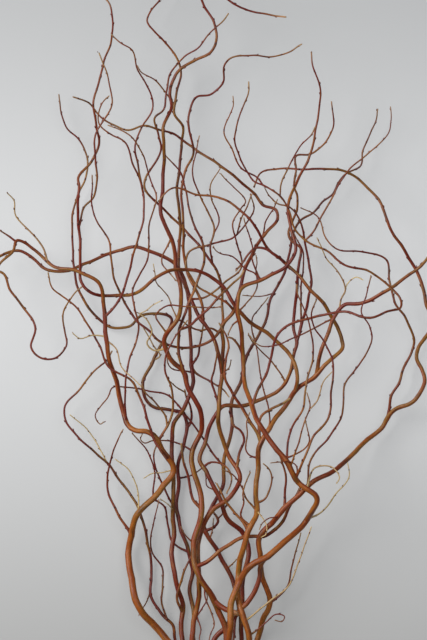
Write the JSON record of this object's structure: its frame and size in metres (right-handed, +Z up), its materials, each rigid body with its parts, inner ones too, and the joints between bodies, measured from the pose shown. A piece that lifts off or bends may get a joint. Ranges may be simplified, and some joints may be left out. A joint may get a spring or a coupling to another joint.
{
  "type": "curly willow branch bunch",
  "caption": "Bunch of cut corkscrew willow stems lying flat: twisting bare branches that fan out from a close bundle of cut ends into fine curling twigs.",
  "frame": {"origin": "middle of the bounding box in plan, on the floor that the bunch lies on", "axes": "+Y along the bunch from the cut ends to the twig tips, +X across it, +Z up from the floor"},
  "size_m": [0.6972, 1.2432, 0.1682],
  "materials": {
    "maroon_bark": "smooth dark maroon bark with a satin gloss",
    "russet_bark": "smooth red-brown bark with a satin gloss",
    "amber_bark": "smooth orange-brown bark with a satin gloss",
    "golden_bark": "smooth golden-brown bark with a satin gloss"
  },
  "bodies": {
    "root": {"dark_stem": "maroon_bark", "maroon_stem": "maroon_bark", "slender_stem": "maroon_bark", "inner_stem": "russet_bark", "red_stem": "russet_bark", "brown_stem": "amber_bark", "orange_stem": "amber_bark", "right_stem": "golden_bark", "forked_stem": "golden_bark", "bowed_stem": "golden_bark", "left_stem": "golden_bark"}
  },
  "joints": []
}
